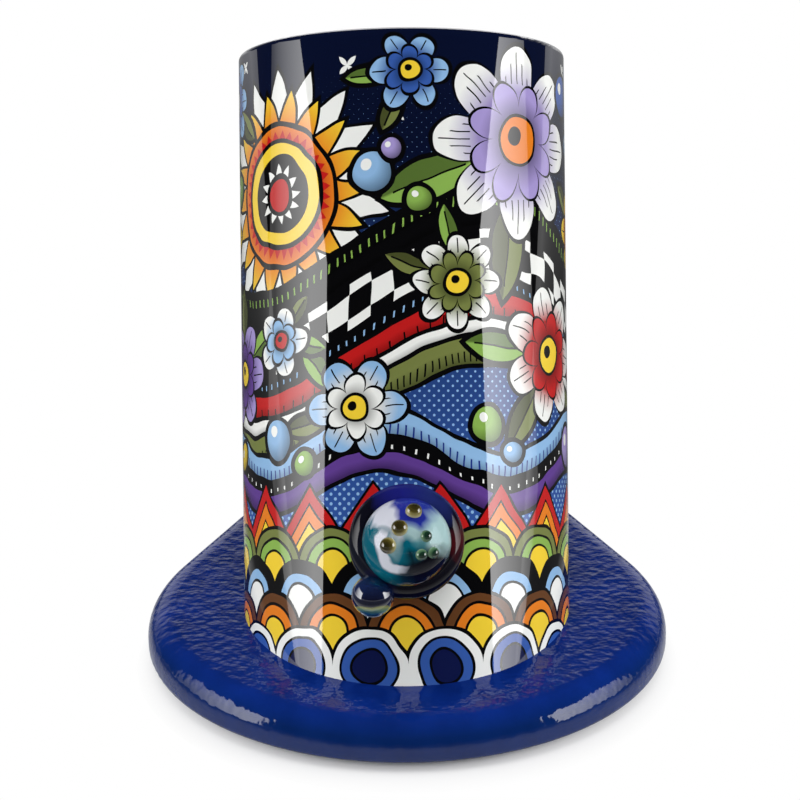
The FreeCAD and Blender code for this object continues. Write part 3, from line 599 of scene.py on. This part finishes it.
def ramp(tree, where, stops):
    """Colours that follow one another along a value from 0 to 1."""
    made = add_node(tree, "ShaderNodeValToRGB", {"Fac": where})
    bands = made.color_ramp.elements
    while len(bands) < len(stops):
        bands.new(0.5)
    for band, (place, colour) in zip(bands, stops):
        band.position = place
        band.color = tuple(colour) + (1.0,)
    return made.outputs[0]


def around_knob(tree, lay):
    """Reach from the knob's axis, and the share of a turn from the right, both slightly drawn."""
    across, _, up = split(tree, lay)
    pull = add_node(tree, "ShaderNodeTexNoise", {
        "Vector": lay, "Scale": 0.16, "Detail": 1.0, "Distortion": 0.8})
    drawn = Field(tree, pull.outputs[0]) - 0.5
    reach = (across * across + up * up).math("SQRT") + drawn * 3.0
    turn = (up.math("ARCTAN2", across) / (2 * math.pi) + drawn * 0.12).math("FLOORED_MODULO", 1.0)
    return reach, turn


DARK_GLASS = (0.003, 0.003, 0.007)
DARK_RED = (0.05, 0.004, 0.006)
MINT = (0.42, 0.58, 0.56)
TEAL = (0.003, 0.115, 0.16)
PALE_TEAL = (0.10, 0.27, 0.29)
MILK = (0.68, 0.66, 0.70)
DEEP_BLUE = (0.02, 0.03, 0.30)


def skirt_glass():
    """Nearly black glass, blue at the top and dark red at one side."""
    material = new_material("skirt_glass")
    tree = material.node_tree
    turn = around_knob(tree, lay_along_tube(tree, KNOB_CENTRE))[1]
    colour = ramp(tree, turn, (
        (0.0, DARK_RED), (0.06, DARK_GLASS), (0.16, (0.012, 0.02, 0.12)), (0.28, (0.01, 0.012, 0.16)),
        (0.40, DARK_GLASS), (0.60, (0.006, 0.008, 0.016)), (0.66, (0.006, 0.006, 0.05)),
        (0.72, DARK_GLASS), (0.94, DARK_GLASS), (1.0, DARK_RED)))
    shade(material, Base_Color=colour, Roughness=0.3, Specular_IOR_Level=0.0,
          Coat_Weight=0.5, Coat_Roughness=0.02)
    return material


def core_glass():
    """Colours turned round each other under the clear dome."""
    material = new_material("core_glass")
    tree = material.node_tree
    reach, turn = around_knob(tree, lay_along_tube(tree, KNOB_CENTRE))
    rim = ramp(tree, turn, (
        (0.0, MINT), (0.10, MINT), (0.16, DEEP_BLUE), (0.30, DEEP_BLUE), (0.33, MILK), (0.39, MILK),
        (0.43, TEAL), (0.66, TEAL), (0.73, (0.003, 0.02, 0.035)), (0.80, DARK_GLASS), (0.93, DARK_GLASS),
        (1.0, MINT)))
    heart = ramp(tree, turn, (
        (0.0, PALE_TEAL), (0.08, MINT), (0.30, MINT), (0.36, MILK), (0.52, MINT), (0.68, TEAL),
        (0.80, (0.003, 0.02, 0.03)), (0.90, TEAL), (1.0, PALE_TEAL)))
    heart = blend(tree, reach.within(0.6, 2.4), TEAL, heart)
    colour = blend(tree, reach.within(4.2, 5.8), heart, rim)
    curl = (reach - 6.6).size() * -1.0
    inside = turn.within(0.40, 0.46) * (turn * -1.0).within(-0.78, -0.70)
    colour = blend(tree, curl.within(-1.3, -0.8) * inside, colour, MILK)
    shade(material, Base_Color=colour, Roughness=0.3, Specular_IOR_Level=0.0)
    return material


def bead_glass():
    """Navy glass with a yellowish band low down and teal under it."""
    material = new_material("bead_glass")
    tree = material.node_tree
    lay = lay_along_tube(tree, KNOB_CENTRE)
    up = split(tree, lay)[2]
    pull = add_node(tree, "ShaderNodeTexNoise", {"Vector": lay, "Scale": 0.3, "Detail": 1.0})
    drop = (up + Field(tree, pull.outputs[0]) * 1.6) * -1.0
    colour = ramp(tree, drop.within(7.0, 19.0), (
        (0.0, (0.004, 0.02, 0.06)), (0.25, (0.006, 0.016, 0.07)), (0.55, (0.003, 0.004, 0.02)),
        (0.66, (0.004, 0.006, 0.02)), (0.70, (0.22, 0.24, 0.06)), (0.76, (0.10, 0.20, 0.14)),
        (0.84, (0.006, 0.06, 0.13)), (1.0, (0.003, 0.01, 0.03))))
    shade(material, Base_Color=colour, Roughness=0.05, Coat_Weight=1.0, Coat_Roughness=0.02)
    return material


# The raised dots: a turn round the knob's axis and a tilt away from it in degrees, and whether it is green
DOTS = ((13, 46, False), (-24, 22, False), (-96, 24, False),
        (70, 27, True), (128, 24, True), (110, 38, True))


def dot_glass():
    """Dots with a dark heart and a pale edge, three olive brown and three green."""
    material = new_material("dot_glass")
    tree = material.node_tree
    lay = lay_along_tube(tree, KNOB_CENTRE - DEPTH * SKIRT_FACE * MM)
    point = add_node(tree, "ShaderNodeVectorMath", {0: lay}, operation="NORMALIZE").outputs[0]
    nearest = {}
    for turn, tilt, is_green in DOTS:
        turn, tilt = math.radians(turn), math.radians(tilt)
        middle = (math.sin(tilt) * math.sin(turn), -math.cos(tilt), math.sin(tilt) * math.cos(turn))
        facing = add_node(tree, "ShaderNodeVectorMath", {0: point, 1: middle}, operation="DOT_PRODUCT")
        facing = Field(tree, facing.outputs["Value"])
        nearest[is_green] = nearest[is_green].math("MAXIMUM", facing) if is_green in nearest else facing
    brown = ramp(tree, nearest[False].within(0.980, 1.0), (
        (0.0, (0.62, 0.60, 0.42)), (0.3, (0.30, 0.26, 0.08)), (0.6, (0.07, 0.055, 0.008)),
        (1.0, (0.02, 0.016, 0.003))))
    green = ramp(tree, nearest[True].within(0.989, 1.0), (
        (0.0, (0.40, 0.52, 0.42)), (0.35, (0.12, 0.24, 0.12)), (0.7, (0.012, 0.05, 0.025)),
        (1.0, (0.004, 0.016, 0.010))))
    colour = blend(tree, nearest[True].math("GREATER_THAN", nearest[False]), brown, green)
    shade(material, Base_Color=colour, Roughness=0.08, Coat_Weight=1.0, Coat_Roughness=0.03)
    return material


def clear_glass(name, tint, roughness, ground=None, ior=1.47):
    """Clear glass, with its outer end ground matt where ground gives the height at which that starts."""
    material = new_material(name)
    tree = material.node_tree
    lay = lay_along_tube(tree, FOOT)
    streak = add_node(tree, "ShaderNodeTexNoise", {"Vector": lay, "Scale": 0.12, "Detail": 2.0})
    colour = blend(tree, Field(tree, streak.outputs[0]).within(0.3, 0.7), darker(tint, 0.96), tint)
    gloss = Field(tree, streak.outputs[0]) * 0.02 + roughness
    if ground is not None:
        rear = split(tree, lay)[1]
        gloss = gloss + rear.within(ground, ground + 0.6) * 0.35
    shade(material, Base_Color=colour, Roughness=gloss, Transmission_Weight=1.0, IOR=ior)
    return material


def lathe(name, profile, material):
    """A piece turned about the knob's axis, from radii and heights in millimetres."""
    out = -DEPTH
    steps = 96
    verts = []
    faces = []
    rows = []
    for radius, height in profile:
        if radius < 1e-6:
            rows.append([len(verts)])
            verts.append(KNOB_CENTRE + out * height * MM)
            continue
        rows.append(range(len(verts), len(verts) + steps))
        for step in range(steps):
            angle = 2 * math.pi * step / steps
            side = Vector((1, 0, 0)) * math.cos(angle) + UP * math.sin(angle)
            verts.append(KNOB_CENTRE + (side * radius + out * height) * MM)
    pairs = list(zip(rows, rows[1:]))
    if len(rows[0]) > 1:
        pairs.append((rows[-1], rows[0]))
    for lower, upper in pairs:
        for step in range(steps):
            following = (step + 1) % steps
            if len(lower) == 1:
                faces.append((lower[0], upper[following], upper[step]))
            elif len(upper) == 1:
                faces.append((lower[step], lower[following], upper[0]))
            else:
                faces.append((lower[step], lower[following], upper[following], upper[step]))
    mesh = bpy.data.meshes.new(name)
    mesh.from_pydata(verts, [], faces)
    mesh.materials.append(material)
    mesh.shade_smooth()
    piece = bpy.data.objects.new(name, mesh)
    scene.collection.objects.link(piece)
    return piece


def arc(centre_radius, centre_height, radius, start, end, steps):
    """Points of a round in a profile, by angles in degrees from straight out sideways."""
    points = []
    for step in range(steps + 1):
        angle = math.radians(start + (end - start) * step / steps)
        points.append((centre_radius + radius * math.cos(angle), centre_height + radius * math.sin(angle)))
    return points


def outward(piece):
    """Turn the faces of a closed piece outwards."""
    work = bmesh.new()
    work.from_mesh(piece.data)
    bmesh.ops.remove_doubles(work, verts=work.verts, dist=1e-7)
    bmesh.ops.recalc_face_normals(work, faces=work.faces)
    work.to_mesh(piece.data)
    work.free()


# Under the index of real glass, so that the floor's mirror image doesn't veil the colours below the dome
LOW_INDEX = 1.28


def build_knob():
    """The glass knob: a dark skirt with the recess at its back, a clear dome and a coloured core in it."""
    rim = SKIRT_RADIUS - SKIRT_ROUND
    back = arc(rim, KNOB_BACK + SKIRT_ROUND, SKIRT_ROUND, -90, 0, 12)
    face = arc(rim, SKIRT_FACE - SKIRT_ROUND, SKIRT_ROUND, 0, 90, 12)
    hole = [(HOLE_MOUTH, SKIRT_FACE), (INSERT_HOLE, SKIRT_FACE - MOUTH_DEPTH), (INSERT_HOLE, RECESS_FLOOR)]
    recess = [(RECESS_RADIUS, RECESS_FLOOR), (RECESS_RADIUS, KNOB_BACK)]
    skirt = lathe("knob_skirt", recess[1:] + back + face + hole + recess[:1], skirt_glass())

    seat = SKIRT_FACE + DOME_GAP
    dome_rise = arc(0.0, SKIRT_FACE, DOME_RADIUS, 0, 90, 40)[:-1] + [(0.0, SKIRT_FACE + DOME_RADIUS)]
    dome = lathe("knob_dome", [(0.0, seat), (DOME_RADIUS - DOME_BEVEL, seat)] + dome_rise,
                 clear_glass("dome_glass", (0.9, 0.95, 1.0), 0.01, ior=LOW_INDEX))

    core_seat = SKIRT_FACE + CORE_GAP
    core_rise = [(CORE_RADIUS * radius, core_seat + CORE_RISE * height)
                 for radius, height in arc(0.0, 0.0, 1.0, 0, 87, 29)] + [(0.0, core_seat + CORE_RISE)]
    core = lathe("knob_core", [(0.0, core_seat - CORE_DISH)] + core_rise, core_glass())
    for piece in (skirt, dome, core):
        outward(piece)
        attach(piece, "knob")
        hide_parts("knob_glass")


SOCKET_SIDES = 6
ROUND_SIDES = 40


def screw_tree():
    """Socket screws on the points of a mesh, all turned the same way."""
    names = ("Head Radius", "Head Height", "Shank Radius", "Shank Length", "Socket Radius", "Socket Depth")
    tree, given = new_group(
        "socket_screws", [("Geometry", ["Points"]), ("Float", names), ("Vector", ["Turn"]),
                          ("Material", ["Metal"])], [("Geometry", ["Screws"])], "GeometryNodeTree")

    def lift(shape, height):
        shift = add_node(tree, "ShaderNodeCombineXYZ", {"Z": height}).outputs[0]
        return add_node(tree, "GeometryNodeTransform", {"Geometry": shape, "Translation": shift}).outputs[0]

    def wall(sides, low_radius, high_radius, low, high):
        """The side of a cylinder or a cone, open at both ends."""
        side = add_node(tree, "GeometryNodeMeshCone", fill_type="NONE", sockets={
            "Vertices": sides, "Radius Bottom": low_radius, "Radius Top": high_radius, "Depth": high - low})
        return lift(side.outputs["Mesh"], low)

    def disc(sides, radius, height):
        flat = add_node(tree, "GeometryNodeMeshCircle", fill_type="NGON", sockets={
            "Vertices": sides, "Radius": radius})
        return lift(flat.outputs[0], height)

    def joined(shapes):
        whole = add_node(tree, "GeometryNodeJoinGeometry")
        for shape in shapes:
            tree.links.new(shape, whole.inputs[0])
        return whole.outputs[0]

    def ring(radius, inner_sides, inner_radius, height):
        """A flat ring between a round rim and an inner one."""
        rims = [add_node(tree, "GeometryNodeCurvePrimitiveCircle", {"Resolution": sides, "Radius": reach})
                for sides, reach in ((ROUND_SIDES, radius), (inner_sides, inner_radius))]
        flat = add_node(tree, "GeometryNodeFillCurve", {0: joined([rim.outputs[0] for rim in rims])})
        return lift(flat.outputs[0], height)

    def turned_over(shape):
        return add_node(tree, "GeometryNodeFlipFaces", {0: shape}).outputs[0]

    radius, height, shank, length, socket, depth = (Field(tree, given[name]) for name in names)
    face_radius, bevel = radius * 0.88, height * 0.12
    recess = joined([ring(face_radius, SOCKET_SIDES, socket, 0.0), disc(SOCKET_SIDES, socket, depth),
                     wall(SOCKET_SIDES, socket, socket, 0.0, depth)])
    screw = joined([
        turned_over(recess), wall(ROUND_SIDES, face_radius, radius, 0.0, bevel),
        wall(ROUND_SIDES, radius, radius, bevel, height), ring(radius, ROUND_SIDES, shank, height),
        wall(ROUND_SIDES, shank, shank, height, length), disc(ROUND_SIDES, shank, length)])
    welded = add_node(tree, "GeometryNodeMergeByDistance", {"Geometry": screw, "Distance": 0.001 * MM})
    turn = add_node(tree, "FunctionNodeEulerToRotation", {0: given["Turn"]})
    spread = add_node(tree, "GeometryNodeInstanceOnPoints", {
        "Points": given["Points"], "Instance": welded.outputs[0], "Rotation": turn.outputs[0]})
    whole = add_node(tree, "GeometryNodeRealizeInstances", {0: spread.outputs[0]})
    metal = add_node(tree, "GeometryNodeSetMaterial", {"Geometry": whole.outputs[0],
                                                       "Material": given["Metal"]})
    add_node(tree, "NodeGroupOutput", {0: metal.outputs[0]})
    return tree


SCREW_TREE = screw_tree()


def build_screws(name, node, places, direction, metal, **sizes):
    """Screws with their outer faces at the places and shanks along the direction, sized in millimetres."""
    seed = bpy.data.meshes.new(name + "_places")
    seed.from_pydata(places, [], [])
    holder = bpy.data.objects.new(name + "_places", seed)
    scene.collection.objects.link(holder)
    added = holder.modifiers.new("screws", "NODES")
    added.node_group = SCREW_TREE
    values = {key.replace("_", " ").title(): size * MM for key, size in sizes.items()}
    values["Turn"] = tuple(direction.to_track_quat("Z", "Y").to_euler())
    values["Metal"] = metal
    for item in SCREW_TREE.interface.items_tree:
        if item.name in values:
            added[item.identifier] = values[item.name]
    ready = holder.evaluated_get(bpy.context.evaluated_depsgraph_get())
    mesh = bpy.data.meshes.new_from_object(ready)
    holder.modifiers.clear()
    bpy.data.objects.remove(holder)
    mesh.name = name
    mesh.shade_flat()
    piece = bpy.data.objects.new(name, mesh)
    scene.collection.objects.link(piece)
    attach(piece, "housing")
    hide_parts(node)


# Where the sleeve's ground end starts, out from the tube's axis
GROUND_FROM = TUBE_RADIUS + 9.0


def finish_nodes():
    """A finish for every piece. The steel comes back, for the screws."""
    black_rubber = plain_finish("black_rubber", (0.018, 0.018, 0.02), 0.7, scale=500.0, depth=0.0001)
    black_anodised = turned_finish("black_anodised", (0.05, 0.05, 0.056), 0.4, (-LEAN, 0, 0), FOOT)
    bare = turned_finish("turned_aluminium", (0.68, 0.68, 0.7), 0.28,
                         (math.pi / 2 - LEAN, 0, 0), KNOB_CENTRE)
    steel = plain_finish("zinc_steel", (0.52, 0.53, 0.55), 0.32, 1.0)
    brass = plain_finish("turned_brass", (0.62, 0.42, 0.14), 0.28, 1.0)
    ceramic = plain_finish("white_ceramic", (0.78, 0.75, 0.68), 0.6, scale=260.0)
    plastic = plain_finish("black_plastic", (0.02, 0.02, 0.022), 0.5, scale=420.0)
    finishes = {
        "tube_housing": print_material(),
        "base_plate": base_paint(),
        "pointer_bead": bead_glass(),
        "knob_dots": dot_glass(),
        "heater_sleeve": clear_glass("sleeve_glass", (0.95, 0.97, 0.97), 0.02, GROUND_FROM),
        "non_slip_pad": black_rubber,
        "cord_gland": black_rubber,
        "top_plate": black_anodised,
        "foot_flange": bare,
        "chassis_plate": bare,
        "heater_collar": bare,
        "collar_saddle": bare,
        "collar_nut": bare,
        "dimmer_saddle": bare,
        "triac_heatsink": black_anodised,
        "heater_rod": ceramic,
        "heater_block": ceramic,
        "sleeve_seals": plain_finish("red_silicone", (0.4, 0.06, 0.03), 0.55),
        "control_board": plain_finish("board_green", (0.02, 0.14, 0.05), 0.4, scale=600.0),
        "filter_choke": plain_finish("wound_copper", (0.5, 0.2, 0.08), 0.35, 1.0, 700.0, 0.0003),
        "filter_capacitor": plain_finish("yellow_case", (0.5, 0.33, 0.04), 0.4),
        "terminal_block": plain_finish("green_case", (0.03, 0.2, 0.07), 0.45),
        "heater_leads": plain_finish("white_sleeving", (0.7, 0.7, 0.66), 0.6, scale=900.0, depth=0.0001),
        "dimmer_leads": plain_finish("red_sleeving", (0.4, 0.03, 0.03), 0.45, scale=900.0),
        "dimmer_bushing": brass,
        "knob_insert": brass,
        "dimmer_body": plastic,
        "dimmer_wiper": plastic,
        "triac": plastic,
    }
    for name, node in nodes.items():
        material = finishes.get(name, steel)
        node.data.materials.clear()
        node.data.materials.append(material)
    return steel


def stage_piece(name, verts, faces, material):
    mesh = bpy.data.meshes.new(name)
    mesh.from_pydata(verts, [], faces)
    mesh.materials.append(material)
    piece = bpy.data.objects.new(name, mesh)
    scene.collection.objects.link(piece)


def rays_seen(tree):
    """Whether a ray comes from the camera, off a shiny face or through glass."""
    path = add_node(tree, "ShaderNodeLightPath")
    return [Field(tree, path.outputs["Is %s Ray" % kind]) for kind in ("Camera", "Glossy", "Transmission")]


# How bright the world is as a light, and how bright its dark side is in a mirror
FILL_LIGHT = 0.34
DIM_ROOM = 0.03

# The floor, and where on it the two rounds of the base stand: their depth and their radius
FLOOR_REACH = 3.0
FLOOR_LEVEL = -0.0003
BASE_ROUNDS = ((-0.0055, 0.068), (0.064, 0.041))

# Where the floor's paint darkens, where it turns white for the camera and where in a shiny face,
# each as two distances from the base
FLOOR_DARKENS = (0.012, 0.06)
FLOOR_WHITENS = (-0.010, 0.006)
FLOOR_WHITENS_MIRRORED = (0.3, 1.5)


def build_stage():
    """A pale floor that keeps the shadow under the base's edge and goes over into plain white."""
    floor = new_material("white_floor")
    tree = floor.node_tree
    across, depth, _ = split(tree, add_node(tree, "ShaderNodeTexCoord").outputs["Object"])
    front, tail = ((across * across + (depth - place) * (depth - place)).math("SQRT") - radius
                   for place, radius in BASE_ROUNDS)
    gap = front.math("MINIMUM", tail)
    tone = blend(tree, gap.within(*FLOOR_DARKENS), (0.9, 0.9, 0.9), (0.12, 0.12, 0.12))
    lit = add_node(tree, "ShaderNodeBsdfDiffuse", {"Color": tone})
    plain = add_node(tree, "ShaderNodeEmission", {"Color": (1.0, 1.0, 1.0), "Strength": 1.0})
    camera, mirrored, glass = rays_seen(tree)
    direct = gap.within(*FLOOR_WHITENS) * camera.math("MAXIMUM", glass)
    share = direct + gap.within(*FLOOR_WHITENS_MIRRORED) * mirrored
    mixed = add_node(tree, "ShaderNodeMixShader", {0: share, 1: lit.outputs[0], 2: plain.outputs[0]})
    add_node(tree, "ShaderNodeOutputMaterial", {"Surface": mixed.outputs[0]})
    corners = [(side * FLOOR_REACH, way * FLOOR_REACH, FLOOR_LEVEL)
               for side, way in ((-1, -1), (1, -1), (1, 1), (-1, 1))]
    stage_piece("floor", corners, [(0, 1, 2, 3)], floor)

    # A white wall behind and a dim room in front, as shiny faces show them
    world = bpy.data.worlds.new("studio")
    world.use_nodes = True
    scene.world = world
    tree = world.node_tree
    tree.nodes.clear()
    _, depth, height = split(tree, add_node(tree, "ShaderNodeTexCoord").outputs["Generated"])
    behind = depth.within(0.7, 0.95)
    wall = behind * (height * -1.0).within(-0.50, -0.32)
    camera, mirrored, glass = rays_seen(tree)
    seen = camera.math("MAXIMUM", glass) * (1.0 - FILL_LIGHT)
    shown = mirrored * (wall * (1.0 - DIM_ROOM) - (FILL_LIGHT - DIM_ROOM))
    strength = seen + shown + FILL_LIGHT
    glow = add_node(tree, "ShaderNodeBackground", {"Color": (1.0, 1.0, 1.0), "Strength": strength})
    add_node(tree, "ShaderNodeOutputWorld", {"Surface": glow.outputs[0]})


# The share of its light that a box keeps at its dim end
DIM_END = 0.12


def softbox(name, place, aim, width, height, radiance, fade=None):
    """A soft light, which shiny faces show where fade gives the depths at which it is dim and full."""
    lamp = bpy.data.lights.new(name, "AREA")
    lamp.shape = "RECTANGLE"
    lamp.size = width
    lamp.size_y = height
    lamp.energy = radiance * math.pi * width * height
    lamp_object = bpy.data.objects.new(name, lamp)
    lamp_object.location = place
    lamp_object.rotation_mode = "QUATERNION"
    lamp_object.rotation_quaternion = (Vector(aim) - Vector(place)).to_track_quat("-Z", "Y")
    lamp_object.visible_glossy = fade is not None
    scene.collection.objects.link(lamp_object)
    if fade:
        lamp.use_nodes = True
        tree = lamp.node_tree
        tree.nodes.clear()
        spot = add_node(tree, "ShaderNodeNewGeometry").outputs["Position"]
        depth = add_node(tree, "ShaderNodeVectorMath", {0: spot, 1: DEPTH}, operation="DOT_PRODUCT")
        strength = Field(tree, depth.outputs["Value"]).within(*fade) * (1.0 - DIM_END) + DIM_END
        glow = add_node(tree, "ShaderNodeEmission", {"Strength": strength})
        add_node(tree, "ShaderNodeOutputLight", {"Surface": glow.outputs[0]})


def build_lights():
    """A box at each side, which the tube shows as a bright band, and soft light from above and in front."""
    middle = FOOT + UP * 0.06
    side_height = 0.38
    for name, side, depth, width, radiance, fade in (
            ("left_box", -0.5, -0.10, 0.46, 6.6, (0.06, -0.24)),
            ("right_box", 0.5, -0.13, 0.40, 8.0, (0.06, -0.28))):
        aim = middle + DEPTH * depth
        softbox(name, aim + Vector((side, 0, 0)), aim, width, side_height, radiance, fade)
    softbox("top_box", (0, -0.15, 1.0), (0, 0, 0.08), 0.6, 0.5, 3.4)
    softbox("front_box", (0, -1.25, 0.95), (0, 0, 0.08), 0.8, 0.5, 2.7)


CAMERA_DISTANCE = 0.650
CAMERA_RISE = 0.0339
CAMERA_ASIDE = -0.0012
CAMERA_ROLL = -0.6


def build_camera():
    """A camera that looks square at the leaning tube from below its middle, with the frame shifted up."""
    view = bpy.data.cameras.new("camera")
    view.sensor_width = 36.0
    view.lens = 106.68
    view.shift_x = -0.0014
    view.shift_y = 0.0974
    view.clip_start = 0.01
    camera = bpy.data.objects.new("camera", view)
    place = FOOT - DEPTH * CAMERA_DISTANCE + UP * CAMERA_RISE + Vector((CAMERA_ASIDE, 0, 0))
    facing = Matrix((Vector((1, 0, 0)), UP, -DEPTH)).transposed()
    roll = Matrix.Rotation(math.radians(CAMERA_ROLL), 3, "Z")
    camera.matrix_world = Matrix.Translation(place) @ (facing @ roll).to_4x4()
    scene.collection.objects.link(camera)
    scene.camera = camera


# The screws' places: the top plate's face, how far to the rear and to the side its two screws are,
# the middle of the flange over the base, and how far from it and how high the four base screws' heads are
PLATE_FACE = TUBE_LENGTH - 0.5
TOP_REAR = 16.0
TOP_SIDE = 18.0
FLANGE_MIDDLE = 4.0 * math.tan(LEAN)
BASE_SIDE = 24.0
BASE_WAY = 25.0
BASE_LEVEL = 3.0

steel = finish_nodes()
build_knob()
top_places = [FOOT + (UP * PLATE_FACE + DEPTH * TOP_REAR + Vector((side * TOP_SIDE, 0, 0))) * MM
              for side in (-1, 1)]
build_screws("top_socket_screws", "top_screws", top_places, -UP, steel, head_radius=2.8, head_height=2.0,
             shank_radius=1.5, shank_length=7.0, socket_radius=1.45, socket_depth=1.2)
base_places = [Vector((side * BASE_SIDE, FLANGE_MIDDLE + way * BASE_WAY, BASE_LEVEL)) * MM
               for side in (-1, 1) for way in (-1, 1)]
build_screws("base_socket_screws", "base_screws", base_places, Vector((0, 0, 1)), steel, head_radius=3.6,
             head_height=4.0, shank_radius=2.0, shank_length=17.0, socket_radius=1.75, socket_depth=2.4)
build_stage()
build_lights()
build_camera()
scene.view_settings.view_transform = "Standard"
